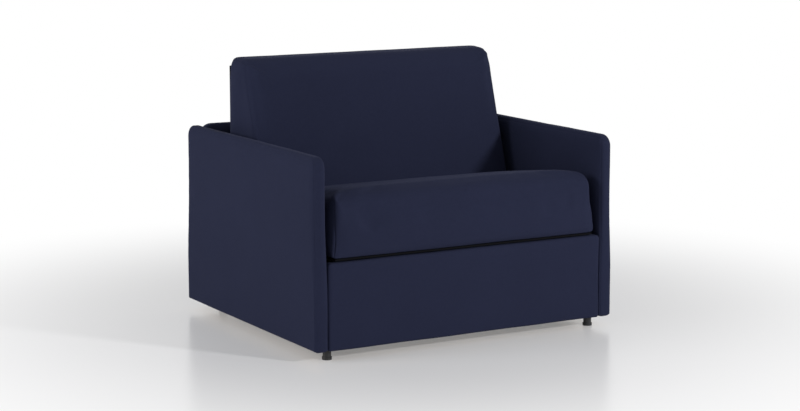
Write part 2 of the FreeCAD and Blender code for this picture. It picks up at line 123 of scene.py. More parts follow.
class ChairBedStage(bpy.types.PropertyGroup):
    floor: bpy.props.FloatVectorProperty(
        name="Floor colour", description="Colour of the plain floor", subtype="COLOR", size=4,
        min=0, max=1, default=linear(FLOOR))
    lamp_level: bpy.props.FloatProperty(
        name="Lamp level", description="Strength of all the lamps together",
        default=1.0, min=0, max=5)


# Shader nodes and materials

# Numbers of a Mix node's sockets for colours: how much of the last, both colours, and the mix
SHARE, FIRST, LAST, MIXED = 0, 6, 7, 2


def node(tree, kind, inputs=(), out=0, **settings):
    """Adds a shader node and gives one of its outputs. An input is a number, a colour or the output
    that feeds it, and a list of inputs fills the sockets in their order."""
    made = tree.nodes.new("ShaderNode" + kind)
    for key, setting in settings.items():
        setattr(made, key, setting)
    for key, source in inputs.items() if isinstance(inputs, dict) else enumerate(inputs):
        if isinstance(source, bpy.types.NodeSocket):
            tree.links.new(source, made.inputs[key])
        else:
            made.inputs[key].default_value = source
    return made.outputs[out] if len(made.outputs) else None


def new_material(name, principled):
    """An empty material with a Principled shader whose constants are set on its own sockets. Gives
    the material, its tree, the shader's sockets and the place on the object."""
    made = bpy.data.materials.new(name)
    made.use_nodes = True
    tree = made.node_tree
    tree.nodes.clear()
    surface = node(tree, "BsdfPrincipled", principled)
    node(tree, "OutputMaterial", {"Surface": surface})
    return made, tree, surface.node.inputs, node(tree, "TexCoord", out="Object")


def feed(tree, sockets, colour, roughness=None, relief=None):
    """Links patterns to the shader's colour, roughness and normal."""
    for key, source in (("Base Color", colour), ("Roughness", roughness), ("Normal", relief)):
        if source is not None:
            tree.links.new(source, sockets[key])


def threads(tree, place, pitch):
    """Plain weave seen square on from each axis: its height from 0 to 1, and how far the warp lies
    on top, from 0 to 1."""
    axes = node(tree, "SeparateXYZ", [place]).node.outputs
    facing = node(tree, "SeparateXYZ", [place.node.outputs["Normal"]]).node.outputs
    turns = [node(tree, "Math", [axes[i], math.pi / pitch], operation="MULTIPLY") for i in range(3)]
    swings = [node(tree, "Math", [turn], operation="SINE") for turn in turns]
    height, top = 0.0, 0.0
    for across in range(3):
        warp, weft = swings[(across + 1) % 3], swings[(across + 2) % 3]
        crossing = node(tree, "Math", [warp, weft], operation="MULTIPLY")
        over = node(tree, "Math", [crossing, 0.5, 0.5], operation="MULTIPLY_ADD")
        under = node(tree, "Math", [1.0, over], operation="SUBTRACT")
        ridges = []
        for thread, part in ((warp, over), (weft, under)):
            bulge = node(tree, "Math", [thread], operation="ABSOLUTE")
            ridges.append(node(tree, "Math", [bulge, part], operation="MULTIPLY"))
        ridge = node(tree, "Math", ridges, operation="MAXIMUM")
        square_on = node(tree, "Math", [facing[across]], operation="ABSOLUTE")
        share = node(tree, "Math", [square_on, 3.0], operation="POWER")
        height = node(tree, "Math", [ridge, share, height], operation="MULTIPLY_ADD")
        top = node(tree, "Math", [over, share, top], operation="MULTIPLY_ADD")
    return height, top


def upholstery_fabric(fabric):
    """Woven polyester flat weave, dull with a soft sheen at grazing angles. The real threads are
    about 0.6 mm apart and too fine to show, so they are drawn four times as coarse."""
    made, tree, sockets, place = new_material("woven_polyester_navy", {
        "Roughness": 0.9, "IOR": 1.46, "Specular IOR Level": 0.08, "Sheen Weight": 0.05,
        "Sheen Roughness": 0.5, "Sheen Tint": linear(NAVY_SHEEN)})
    height, top = threads(tree, place, fabric.thread_pitch)
    slub_size, wash_size = 9 * MM, 140 * MM
    slub, wash = [node(tree, "TexNoise", {"Vector": place, "Scale": 1 / size, "Detail": 2.0}, "Fac")
                  for size in (slub_size, wash_size)]
    part = node(tree, "Math", [slub, 0.35], operation="MULTIPLY")
    share = node(tree, "Math", [top, 0.55, part], operation="MULTIPLY_ADD")
    yarns = {SHARE: share, FIRST: tuple(fabric.cover), LAST: tuple(fabric.cover_shade)}
    mixed = node(tree, "Mix", yarns, MIXED, data_type="RGBA")
    tone = node(tree, "MapRange", {"Value": wash, "To Min": 0.94, "To Max": 1.08})
    colour = node(tree, "HueSaturation", {"Color": mixed, "Value": tone})
    surface = node(tree, "Math", [slub, 0.5, height], operation="MULTIPLY_ADD")
    relief = node(tree, "Bump", {"Height": surface, "Distance": 0.35 * MM, "Strength": 0.55})
    feed(tree, sockets, colour, relief=relief)
    return made


def mattress_ticking(fabric):
    """Woven cotton and viscose ticking, off-white, soft and dull, with a fine woven stripe."""
    made, tree, sockets, place = new_material("woven_cotton_ticking", {
        "Roughness": 0.82, "IOR": 1.46, "Specular IOR Level": 0.3, "Sheen Weight": 0.2,
        "Sheen Roughness": 0.5})
    thread_pitch, stripe_pitch, soft_size = 2.2 * MM, 11 * MM, 26 * MM
    height, top = threads(tree, place, thread_pitch)
    across = node(tree, "SeparateXYZ", [place])
    turn = node(tree, "Math", [across, 2 * math.pi / stripe_pitch], operation="MULTIPLY")
    stripe = node(tree, "Math", [turn], operation="SINE")
    weave = node(tree, "Math", [top, 0.25, 0.12], operation="MULTIPLY_ADD")
    share = node(tree, "Math", [stripe, 0.16, weave], operation="MULTIPLY_ADD", use_clamp=True)
    yarns = {SHARE: share, FIRST: tuple(fabric.ticking), LAST: linear(TICKING_SHADE)}
    colour = node(tree, "Mix", yarns, MIXED, data_type="RGBA")
    soft = node(tree, "TexNoise", {"Vector": place, "Scale": 1 / soft_size, "Detail": 3.0}, "Fac")
    under = node(tree, "Bump", {"Height": soft, "Distance": 0.8 * MM, "Strength": 0.4})
    relief = node(tree, "Bump", {"Height": height, "Distance": 0.3 * MM, "Strength": 0.5,
                                 "Normal": under})
    feed(tree, sockets, colour, relief=relief)
    return made


def mattress_border(_fabric):
    """Knitted spacer mesh round a mattress: small open cells in a grey knit."""
    made, tree, sockets, place = new_material("knitted_polyester_spacer", {
        "Roughness": 0.8, "Specular IOR Level": 0.3, "Sheen Weight": 0.15})
    cell_size = 4.5 * MM
    cells = node(tree, "TexVoronoi", {"Vector": place, "Scale": 1 / cell_size, "Randomness": 0.25},
                 "Distance")
    share = node(tree, "MapRange", {"Value": cells, "From Max": 0.55, "To Min": 1.0, "To Max": 0.0})
    yarns = {SHARE: share, FIRST: linear(BORDER), LAST: linear(BORDER_CELL)}
    colour = node(tree, "Mix", yarns, MIXED, data_type="RGBA")
    relief = node(tree, "Bump", {"Height": cells, "Distance": 0.8 * MM, "Strength": 0.8})
    feed(tree, sockets, colour, relief=relief)
    return made


def edge_binding(_fabric):
    """Woven polyester tape sewn over the mattress edge, with fine ribs across it."""
    made, tree, sockets, place = new_material("woven_polyester_tape", {
        "Roughness": 0.7, "Sheen Weight": 0.15})
    rib_pitch = 1.6 * MM
    height, top = threads(tree, place, rib_pitch)
    share = node(tree, "Math", [top, 0.5], operation="MULTIPLY")
    yarns = {SHARE: share, FIRST: linear(BINDING), LAST: linear(BINDING_SHADE)}
    colour = node(tree, "Mix", yarns, MIXED, data_type="RGBA")
    relief = node(tree, "Bump", {"Height": height, "Distance": 0.3 * MM, "Strength": 0.6})
    feed(tree, sockets, colour, relief=relief)
    return made


def grain(tree, place, along, stretch, size):
    """Wood grain: noise of the given size across the grain, drawn out along one axis."""
    scale = [1 / size] * 3
    scale["XYZ".index(along)] = 1 / (size * stretch)
    drawn_out = node(tree, "Mapping", {"Vector": place, "Scale": scale})
    wavy = node(tree, "TexNoise", {"Vector": drawn_out, "Scale": 1.0, "Detail": 6.0,
                                   "Roughness": 0.62, "Distortion": 0.35}, "Fac")
    return node(tree, "MapRange", {"Value": wavy, "From Min": 0.32, "From Max": 0.68})


def beech_slat(_fabric):
    """Bent beech plywood under clear lacquer: warm tan, tight grain and short dark flecks along
    the slat."""
    made, tree, sockets, place = new_material("lacquered_beech", {
        "IOR": 1.5, "Coat Weight": 0.35, "Coat Roughness": 0.25})
    line_width, fleck_width = 5 * MM, 1.3 * MM
    lines = grain(tree, place, "X", 26, line_width)
    flecks = grain(tree, place, "X", 7, fleck_width)
    share = node(tree, "Math", [lines, 0.75], operation="MULTIPLY")
    woods = {SHARE: share, FIRST: linear(BEECH), LAST: linear(BEECH_DARK)}
    tone = node(tree, "Mix", woods, MIXED, data_type="RGBA")
    dark = node(tree, "Math", [flecks, 0.86], operation="GREATER_THAN")
    dots = node(tree, "Math", [dark, 0.35], operation="MULTIPLY")
    colour = node(tree, "Mix", {SHARE: dots, FIRST: tone, LAST: linear(BEECH_FLECK)}, MIXED,
                  data_type="RGBA")
    roughness = node(tree, "MapRange", {"Value": lines, "To Min": 0.34, "To Max": 0.52})
    relief = node(tree, "Bump", {"Height": flecks, "Distance": 0.12 * MM, "Strength": 0.4})
    feed(tree, sockets, colour, roughness, relief)
    return made


def birch_board(_fabric):
    """Raw birch plywood: pale faces with a wide wild grain and no lacquer."""
    made, tree, sockets, place = new_material("raw_birch_plywood", {"Specular IOR Level": 0.3})
    line_width = 16 * MM
    lines = grain(tree, place, "Z", 9, line_width)
    share = node(tree, "Math", [lines, 0.7], operation="MULTIPLY")
    woods = {SHARE: share, FIRST: linear(BIRCH), LAST: linear(BIRCH_DARK)}
    colour = node(tree, "Mix", woods, MIXED, data_type="RGBA")
    roughness = node(tree, "MapRange", {"Value": lines, "To Min": 0.6, "To Max": 0.8})
    relief = node(tree, "Bump", {"Height": lines, "Distance": 0.15 * MM, "Strength": 0.5})
    feed(tree, sockets, colour, roughness, relief)
    return made


def lining_cloth_painted_gap_shade(_fabric):
    """Spun-bonded polypropylene lining stapled over the boards: dull, pressed with small dots. Its
    near-black colour is partly the lining's own charcoal and partly painted shade, made dark to
    stand in for the shaded gaps between the cushions and the panels."""
    made, tree, sockets, place = new_material("spunbond_lining_painted_gap_shade", {
        "Specular IOR Level": 0.05})
    dot_pitch, fibre_size = 2.4 * MM, 3 * MM
    dots = node(tree, "TexVoronoi", {"Vector": place, "Scale": 1 / dot_pitch, "Randomness": 0.1},
                "Distance")
    fibre = node(tree, "TexNoise", {"Vector": place, "Scale": 1 / fibre_size, "Detail": 5.0,
                                    "Roughness": 0.7}, "Fac")
    fibres = {SHARE: fibre, FIRST: linear(LINING_AND_GAP_SHADE), LAST: linear(LINING_FIBRE_AND_GAP_SHADE)}
    colour = node(tree, "Mix", fibres, MIXED, data_type="RGBA")
    roughness = node(tree, "MapRange", {"Value": fibre, "To Min": 0.75, "To Max": 0.95})
    relief = node(tree, "Bump", {"Height": dots, "Distance": 0.2 * MM, "Strength": 0.6})
    feed(tree, sockets, colour, roughness, relief)
    return made


def mottled(name, principled, fine, cloud, colours, most, rough_by_fine, rough_range, height,
            strength):
    """A hard finish with a fine relief under a cloudy colour. fine and cloud are each a size and
    a detail of noise, and most is the largest share of the second colour."""
    made, tree, sockets, place = new_material(name, principled)
    grit, haze = [node(tree, "TexNoise", {"Vector": place, "Scale": 1 / size, "Detail": detail},
                       "Fac") for size, detail in (fine, cloud)]
    share = node(tree, "Math", [haze, most], operation="MULTIPLY")
    tones = {SHARE: share, FIRST: linear(colours[0]), LAST: linear(colours[1])}
    colour = node(tree, "Mix", tones, MIXED, data_type="RGBA")
    roughness = node(tree, "MapRange", {"Value": grit if rough_by_fine else haze,
                                        "To Min": rough_range[0], "To Max": rough_range[1]})
    relief = node(tree, "Bump", {"Height": grit, "Distance": height, "Strength": strength})
    feed(tree, sockets, colour, roughness, relief)
    return made


def powder_coat(_fabric):
    """Powder-coated steel: near-black, half matt, with the fine orange peel of baked powder."""
    return mottled("powder_coated_steel", {"IOR": 1.5}, fine=(1.8 * MM, 2.0),
                   cloud=(60 * MM, 3.0), colours=(POWDER_COAT, POWDER_COAT_PALE), most=0.35,
                   rough_by_fine=True, rough_range=(0.38, 0.52), height=0.12 * MM, strength=0.5)


def zinc_steel(_fabric):
    """Turned steel with bright zinc plating: pale grey metal with faint cloudy spangle."""
    return mottled("zinc_plated_steel", {"Metallic": 1.0}, fine=(0.9 * MM, 3.0),
                   cloud=(6 * MM, 3.0), colours=(ZINC, ZINC_DARK), most=0.5,
                   rough_by_fine=False, rough_range=(0.26, 0.44), height=0.05 * MM, strength=0.4)


def moulded_plastic(_fabric):
    """Injection-moulded polypropylene: black, half matt, with a fine spark-eroded texture."""
    return mottled("moulded_polypropylene_black", {"IOR": 1.49}, fine=(0.8 * MM, 2.0),
                   cloud=(18 * MM, 3.0), colours=(BLACK_PLASTIC, BLACK_PLASTIC_WORN), most=0.4,
                   rough_by_fine=False, rough_range=(0.42, 0.6), height=0.06 * MM, strength=0.6)


MAKERS = {
    "fabric": upholstery_fabric, "ticking": mattress_ticking, "border": mattress_border,
    "binding": edge_binding, "beech": beech_slat, "birch": birch_board, "lining": lining_cloth_painted_gap_shade,
    "steel": powder_coat, "zinc": zinc_steel, "plastic": moulded_plastic,
}
MATERIALS = {}


def material(kind):
    """The finish of that kind, made on its first use."""
    if kind not in MATERIALS:
        MATERIALS[kind] = MAKERS[kind](bpy.context.scene.chair_bed_fabric)
    return MATERIALS[kind]


# Meshes

def new_object(name, points, faces, finishes, finish_of_face=None, smooth=True):
    """A mesh object in the given finishes, all in the first where finish_of_face is left out."""
    mesh = bpy.data.meshes.new(name)
    mesh.from_pydata([tuple(p) for p in points], [], faces)
    for kind in finishes:
        mesh.materials.append(material(kind))
    if finish_of_face is not None:
        mesh.polygons.foreach_set("material_index", finish_of_face)
    mesh.polygons.foreach_set("use_smooth", [smooth] * len(mesh.polygons))
    mesh.update()
    piece = bpy.data.objects.new(name, mesh)
    bpy.context.scene.collection.objects.link(piece)
    return piece


def grid_lines(low, high, edge_steps, step):
    """Places along one axis, close together at both ends and even between."""
    near = [low + s for s in edge_steps if s < (high - low) / 2 - step / 2]
    far = [high + low - s for s in reversed(near)]
    count = max(1, round((far[0] - near[-1]) / step))
    middle = [near[-1] + (far[0] - near[-1]) * i / count for i in range(1, count)]
    return near + middle + far


def box_grid(lines):
    """Points and quads of a box's surface, from the grid lines along its three axes, and for each
    quad the axis it looks along and whether that is forward."""
    number, points, faces, ends = {}, [], [], []

    def point(key):
        if key not in number:
            number[key] = len(points)
            points.append([lines[axis][key[axis]] for axis in range(3)])
        return number[key]

    for axis in range(3):
        u, v = (axis + 1) % 3, (axis + 2) % 3
        for end, last in ((0, False), (len(lines[axis]) - 1, True)):
            for i in range(len(lines[u]) - 1):
                for j in range(len(lines[v]) - 1):
                    corners = []
                    for a, b in ((i, j), (i + 1, j), (i + 1, j + 1), (i, j + 1)):
                        key = [0, 0, 0]
                        key[axis], key[u], key[v] = end, a, b
                        corners.append(point(tuple(key)))
                    faces.append(corners if last else corners[::-1])
                    ends.append((axis, last))
    return np.array(points), faces, ends


def ease(share):
    """A smooth step from 0 to 1."""
    share = np.clip(share, 0, 1)
    return share * share * (3 - 2 * share)


def rounded(points, low, high, end_round, corner_rounds):
    """Rounds a box. The corners in its Y and Z section are front base, front top, rear top and
    rear base."""
    low, high = np.array(low), np.array(high)
    share = (points - low) / (high - low)
    rear, up = ease(share[:, 1] * 2 - 0.5), ease(share[:, 2] * 2 - 0.5)
    front_base, front_top, rear_top, rear_base = corner_rounds
    radius = ((front_base * (1 - up) + front_top * up) * (1 - rear)
              + (rear_base * (1 - up) + rear_top * up) * rear)
    reach = np.stack([np.broadcast_to(end_round, len(points)), radius, radius], axis=1)
    core = np.clip(points, low + reach, high - reach)
    offset = points - core
    length = np.sqrt(((offset / reach) ** 2).sum(axis=1))
    return core + offset / np.maximum(length, 1)[:, None]


def edge_distance(points, low, high, axis):
    """How far a point of the box's surface lies from the seams round the two faces across an
    axis."""
    gaps = np.minimum(points - np.array(low), np.array(high) - points)
    others = [a for a in range(3) if a != axis]
    return gaps[:, axis] + gaps[:, others].min(axis=1)


def waves(points, size, seed):
    """Smooth random heights from about -1 to 1."""
    start = Vector((seed * 7.3, seed * 3.1, seed * 5.7))
    return np.array([noise.noise(Vector(p) / size + start) for p in points])


# Places of the grid lines behind each edge, close enough together for seams and round corners
EDGE_STEPS = [s * MM for s in (0, 1.3, 2.8, 4.6, 7, 10, 14, 19, 25, 32, 40, 49)]
GRID_STEP = 11 * MM

# Frames of the cloth simulation and the pressure that it blows the covers up with
PUFF_FRAMES = 20
PUFF_PRESSURE = 4.0

# Soft waves in the padding, and the fabric's short puckers beside a seam
WAVE_LENGTH = 170 * MM
RIPPLE_LENGTH = 48 * MM
RIPPLE_SHARE = 0.22
PUCKER_LENGTH = 15 * MM
PUCKER_HEIGHT = 0.5 * MM
PUCKER_REACH = 9 * MM
CALM_REACH = 30 * MM
CALM_SHARE = 0.25


def places(mesh):
    """The points of a mesh, one row each."""
    flat = np.zeros(len(mesh.vertices) * 3)
    mesh.vertices.foreach_get("co", flat)
    return flat.reshape(-1, 3)


def applied(piece):
    """Applies the piece's modifiers to its mesh."""
    made_up = piece.evaluated_get(bpy.context.evaluated_depsgraph_get())
    shape = bpy.data.meshes.new_from_object(made_up)
    piece.modifiers.clear()
    piece.data = shape


def puffed(piece, held, cap):
    """Blows the sewn cover up over its foam as simulated cloth. Held points stay, and no other
    moves further than the cap."""
    start = places(piece.data)
    group = piece.vertex_groups.new(name="held")
    group.add([int(i) for i in np.flatnonzero(held)], 1.0, "REPLACE")
    cover = piece.modifiers.new("cover", "CLOTH")
    cover.settings.vertex_group_mass = group.name
    cover.settings.use_pressure = True
    cover.settings.uniform_pressure_force = PUFF_PRESSURE
    cover.settings.effector_weights.gravity = 0
    for number in range(1, PUFF_FRAMES + 1):
        bpy.context.scene.frame_set(number)
    blown = places(piece.evaluated_get(bpy.context.evaluated_depsgraph_get()).data)
    piece.modifiers.clear()
    piece.vertex_groups.clear()
    bpy.context.scene.frame_set(1)
    move = blown - start
    length = np.maximum(np.linalg.norm(move, axis=1), 1e-9)
    return start + move * (cap * np.tanh(length / cap) / length)[:, None]


def soft_piece(name, low, high, form, seam_axis, seed, step=GRID_STEP, finishes=("fabric",),
               finish_of=None, open_below=None, carve=None, held=None, cap=0.0, room=None):
    """A padded piece. form turns points of the box low to high into the piece's shape, and seams
    run round the two faces across seam_axis and pull the cover in. finish_of picks a finish for
    each quad, open_below names quads to leave out, and carve gives the height of sewn lines. held
    picks the points that rest on a board while the cover is blown up, cap is the furthest that a
    point then moves, and room is the half width that the cover presses against."""
    sizes = bpy.context.scene.chair_bed_sizes
    lines = [grid_lines(low[a], high[a], EDGE_STEPS, step) for a in range(3)]
    points, faces, ends = box_grid(lines)
    if open_below is not None:
        kept = [i for i, f in enumerate(faces) if not open_below(points[f].mean(axis=0), ends[i])]
        faces, ends = [faces[i] for i in kept], [ends[i] for i in kept]
    shaped = form(points)
    finish_index = None
    if finish_of is not None:
        finish_index = [finish_of(points[f].mean(axis=0), end) for f, end in zip(faces, ends)]
    piece = new_object(name, shaped, faces, finishes, finish_index)
    if held is not None:
        shaped = puffed(piece, held(points), cap)
        shaped[:, 0] = np.clip(shaped[:, 0], -room, room)
        piece.data.vertices.foreach_set("co", shaped.ravel())
        piece.data.update()
    normals = np.zeros(len(points) * 3)
    piece.data.vertex_normals.foreach_get("vector", normals)
    normals = normals.reshape(-1, 3)
    lift = (waves(shaped, WAVE_LENGTH, seed) * sizes.unevenness
            + waves(shaped, RIPPLE_LENGTH, seed + 9) * sizes.unevenness * RIPPLE_SHARE)
    if seam_axis is not None:
        distance = edge_distance(points, low, high, seam_axis)
        lift = lift * (CALM_SHARE + (1 - CALM_SHARE) * ease(distance / CALM_REACH))
        lift = lift - sizes.seam_depth * np.exp(-(distance / sizes.seam_width) ** 2)
        pucker = waves(shaped, PUCKER_LENGTH, seed + 4) * PUCKER_HEIGHT
        lift = lift + pucker * np.exp(-((distance - PUCKER_REACH) / PUCKER_REACH) ** 2)
    if carve is not None:
        lift = lift + carve(points)
    shaped = shaped + normals * lift[:, None]
    piece.data.vertices.foreach_set("co", shaped.ravel())
    piece.data.update()
    if held is not None:
        piece.modifiers.new("finer", "SUBSURF").levels = 1
        applied(piece)
    return piece


def finish_piece(piece, body, node_name):
    """The piece stands for its CAD node and moves with that node's body."""
    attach(piece, body)
    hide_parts(node_name)


def boss(share, power):
    """1 over the middle and falling to 0 at both ends, for shares from 0 to 1."""
    return 1 - np.abs(share * 2 - 1) ** power


# Arms and panels

ARM_TOP_ROUND = 34 * MM
ARM_BASE_ROUND = 6 * MM
ARM_EDGE_ROUND = 16 * MM
ARM_SWELL = 3.5 * MM
BOARD_ROUND = 30 * MM
BOARD_EDGE = 1 * MM
BOARD_STEP = 90 * MM
HEM = 8 * MM
PANEL_EDGE_ROUND = 7 * MM
PANEL_SWELL = 2 * MM
FRONT_TOP_ROUND = 12 * MM
REAR_TOP_ROUND = 38 * MM

# X and Y changed over, so that what is written for the arms serves the panels
TURNED = [1, 0, 2]


def hem_only(low, high):
    """Leaves out the middle of the underside, where the board shows inside the turned hem."""
    def left_out(place, end):
        inside = all(low[a] + HEM < place[a] < high[a] - HEM for a in (0, 1))
        return end == (2, False) and inside
    return left_out


def arm_piece(word):
    """The padded cover of one arm, fullest in the middle of its sides."""
    low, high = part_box(f"{word}_arm_cover")
    corners = (ARM_BASE_ROUND, ARM_TOP_ROUND, ARM_TOP_ROUND, ARM_BASE_ROUND)

    def form(points):
        share = (points - np.array(low)) / (np.array(high) - np.array(low))
        shaped = rounded(points, low, high, ARM_EDGE_ROUND, corners)
        swell = boss(share[:, 1], 4) * boss(share[:, 2], 3) * ARM_SWELL
        shaped[:, 0] += np.sign(share[:, 0] - 0.5) * np.abs(share[:, 0] * 2 - 1) * swell
        return shaped

    piece = soft_piece(f"{word}_arm_upholstery", low, high, form, 0, 3 if word == "left" else 5,
                       open_below=hem_only(low, high))
    finish_piece(piece, "base", f"{word}_arm_cover")


def sawn_board(name, turned=False):
    """The board inside an arm, or turned, inside a panel, its upper corners sawn round to follow
    the cover."""
    order = TURNED if turned else [0, 1, 2]
    low, high = [[corner[a] for a in order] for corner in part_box(f"{name}_board")]
    lines = [grid_lines(low[a], high[a], EDGE_STEPS, BOARD_STEP) for a in (1, 2)]
    lines.insert(0, [low[0], high[0]])
    points, faces, _ends = box_grid(lines)
    corners = (BOARD_EDGE, BOARD_ROUND, BOARD_ROUND, BOARD_EDGE)
    shaped = rounded(points, low, high, BOARD_EDGE, corners)
    shaped[:, 0] = points[:, 0]
    faces = [quad[::-1] for quad in faces] if turned else faces
    piece = new_object(f"{name}_plywood", shaped[:, order], faces, ("birch",), smooth=False)
    finish_piece(piece, "base", f"{name}_board")


def panel_piece(name, seed, top_round):
    """The padded cover of the front or rear panel."""
    low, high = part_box(f"{name}_cover")
    corners = (PANEL_EDGE_ROUND, top_round, top_round, PANEL_EDGE_ROUND)

    def form(points):
        share = (points - np.array(low)) / (np.array(high) - np.array(low))
        turned_low, turned_high = [[box[a] for a in TURNED] for box in (low, high)]
        shaped = rounded(points[:, TURNED], turned_low, turned_high, PANEL_EDGE_ROUND, corners)
        shaped = shaped[:, TURNED]
        swell = boss(share[:, 0], 6) * boss(share[:, 2], 4) * PANEL_SWELL
        shaped[:, 1] += np.sign(share[:, 1] - 0.5) * np.abs(share[:, 1] * 2 - 1) * swell
        return shaped

    piece = soft_piece(f"{name}_upholstery", low, high, form, None, seed,
                       open_below=hem_only(low, high))
    finish_piece(piece, "base", f"{name}_cover")


class CHAIRBED_OT_arms(bpy.types.Operator):
    """Makes the padded covers of both arms and the boards inside them"""
    bl_idname = "chair_bed.arms"
    bl_label = "Make Arms"

    def execute(self, context):
        for word, _side in SIDES:
            arm_piece(word)
            sawn_board(f"{word}_arm")
        return {"FINISHED"}


class CHAIRBED_OT_panels(bpy.types.Operator):
    """Makes the covers of the front and rear panels and the rear panel's board"""
    bl_idname = "chair_bed.panels"
    bl_label = "Make Panels"

    def execute(self, context):
        panel_piece("front_panel", 11, FRONT_TOP_ROUND)
        panel_piece("rear_panel", 13, REAR_TOP_ROUND)
        sawn_board("rear_panel", turned=True)
        return {"FINISHED"}


# Seat and back cushions

BACK_LEAN = math.tan(math.radians(16.5))
SEAT_RAKE = math.tan(math.radians(8))
CROWN_POWER = 2.5
SEAT_TOP = 478 * MM
SEAT_CROWN = 5 * MM
SEAT_CORNERS = (11 * MM, 46 * MM, 20 * MM, 14 * MM)
SEAT_CAP = 9 * MM
SEAT_ROOM = 449.5 * MM
SEAT_END_ROUND = 24 * MM
END_DROP = 9 * MM
END_DROP_REACH = 120 * MM
CUSHION_STEP = 13 * MM
BACK_CROWN = 5 * MM
BACK_TOP_DEPTH = 96 * MM
BACK_CORNERS = (15 * MM, 34 * MM, 30 * MM, 8 * MM)
BACK_CAP = 9 * MM
BACK_ROOM = 441.8 * MM
CUSHION_END_ROUND = 34 * MM
BACK_END_ROUND = 7 * MM
BACK_TOP_REACH = 90 * MM
BACK_FACE_SHARE = 0.3
SLACK = 3 * MM
BOARD_SIDE = 1.5 * MM


class CHAIRBED_OT_seat_cushion(bpy.types.Operator):
    """Makes the seat cushion, whose top falls to the rear and whose rear slants with the back"""
    bl_idname = "chair_bed.seat_cushion"
    bl_label = "Make Seat Cushion"

    def execute(self, context):
        low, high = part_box("seat_cushion")
        start = (low[0] - SLACK, low[1] + SLACK, low[2])
        end = (high[0] + SLACK, high[1], SEAT_TOP - SLACK)

        def form(points):
            share = (points - np.array(start)) / (np.array(end) - np.array(start))
            shaped = rounded(points, start, end, SEAT_END_ROUND, SEAT_CORNERS)
            up = (shaped[:, 2] - start[2]) / (end[2] - start[2])
            from_end = end[0] - np.abs(shaped[:, 0])
            shaped[:, 2] -= up ** 2 * END_DROP * ease(1 - from_end / END_DROP_REACH)
            shaped[:, 2] += (up ** 2 * SEAT_CROWN * boss(share[:, 0], CROWN_POWER)
                             * boss(share[:, 1], CROWN_POWER))
            slant = (high[2] - shaped[:, 2]) * BACK_LEAN
            shaped[:, 2] -= SEAT_RAKE * (shaped[:, 1] - start[1]) * up
            shaped[:, 1] -= slant * ease(share[:, 1] * 2 - 0.9)
            return shaped

        def on_board(points):
            return points[:, 2] < start[2] + BOARD_SIDE

        piece = soft_piece("seat_cushion_upholstery", start, end, form, 0, 21, step=CUSHION_STEP,
                           held=on_board, cap=SEAT_CAP, room=SEAT_ROOM)
        finish_piece(piece, "seat_section", "seat_cushion")
        return {"FINISHED"}


class CHAIRBED_OT_back_cushion(bpy.types.Operator):
    """Makes the wedge of the back cushion, upright behind with a leaning face"""
    bl_idname = "chair_bed.back_cushion"
    bl_label = "Make Back Cushion"

    def execute(self, context):
        low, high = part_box("back_cushion")
        start = (low[0], high[1] - BACK_TOP_DEPTH + SLACK, low[2])
        end = (high[0], high[1], high[2] - SLACK)

        def form(points):
            share = (points - np.array(start)) / (np.array(end) - np.array(start))
            near_top = ease((points[:, 2] - end[2]) / BACK_TOP_REACH + 1)
            face = 1 - share[:, 1]
            soft = np.maximum(near_top, BACK_FACE_SHARE * face)
            end_round = BACK_END_ROUND + (CUSHION_END_ROUND - BACK_END_ROUND) * soft
            shaped = rounded(points, start, end, end_round, BACK_CORNERS)
            wedge = (end[2] - shaped[:, 2]) * BACK_LEAN
            shaped[:, 1] -= wedge * ease(face * 1.6 - 0.3)
            crown = boss(share[:, 0], CROWN_POWER) * boss(share[:, 2], CROWN_POWER)
            shaped[:, 1] -= face ** 2 * crown * BACK_CROWN
            return shaped

        def on_board(points):
            return points[:, 1] > end[1] - BOARD_SIDE

        piece = soft_piece("back_cushion_upholstery", start, end, form, 0, 31, step=CUSHION_STEP,
                           held=on_board, cap=BACK_CAP, room=BACK_ROOM)
        finish_piece(piece, "back_section", "back_cushion")
        return {"FINISHED"}


# Mattress

# Name, body, axis of its thickness and seed of each section
MATTRESS = (("head", "head_section", 2, 41), ("middle", "seat_section", 2, 43),
            ("foot", "back_section", 1, 47))
MATTRESS_STEP = 8 * MM
MATTRESS_ROUND = 18 * MM
QUILT_DEPTH = 3.2 * MM
QUILT_WIDTH = 5 * MM
QUILT_FADE = 25 * MM
BINDING_INSET = 5.5 * MM
BINDING_RADIUS = 3.2 * MM
BINDING_TURN = 13 * MM
BINDING_SIDES = 8
CORNER_STEPS = 6


def mattress_binding(name, low, high, thick):
    """Rolled tape along both edges of a mattress section, one closed tube round each face."""
    long_axis = 3 - thick
    inset = BINDING_INSET + BINDING_TURN
    points, faces = [], []
    for face in (low[thick] + BINDING_INSET, high[thick] - BINDING_INSET):
        rings = []
        for corner, (sx, sy) in enumerate(((1, 1), (-1, 1), (-1, -1), (1, -1))):
            middle = [0.0, 0.0, 0.0]
            for axis, side in ((0, sx), (long_axis, sy)):
                middle[axis] = (high[axis] if side > 0 else low[axis]) - side * inset
            middle[thick] = face
            for step in range(CORNER_STEPS + 1):
                turn = math.radians(90) * (corner + step / CORNER_STEPS)
                out = np.zeros(3)
                out[0], out[long_axis] = math.cos(turn), math.sin(turn)
                up = np.zeros(3)
                up[thick] = 1.0
                centre = np.array(middle) + out * BINDING_TURN
                rings.append(len(points))
                for side in range(BINDING_SIDES):
                    angle = 2 * math.pi * side / BINDING_SIDES
                    way = out * math.cos(angle) + up * math.sin(angle)
                    points.append(centre + way * BINDING_RADIUS)
        for number, ring in enumerate(rings):
            following = rings[(number + 1) % len(rings)]
            for side in range(BINDING_SIDES):
                beside = (side + 1) % BINDING_SIDES
                quad = (ring + side, ring + beside, following + beside, following + side)
                # Round an upright section the tube runs the other way about
                faces.append(quad if thick == 1 else quad[::-1])
    return new_object(f"{name}_mattress_binding", points, faces, ("binding",))


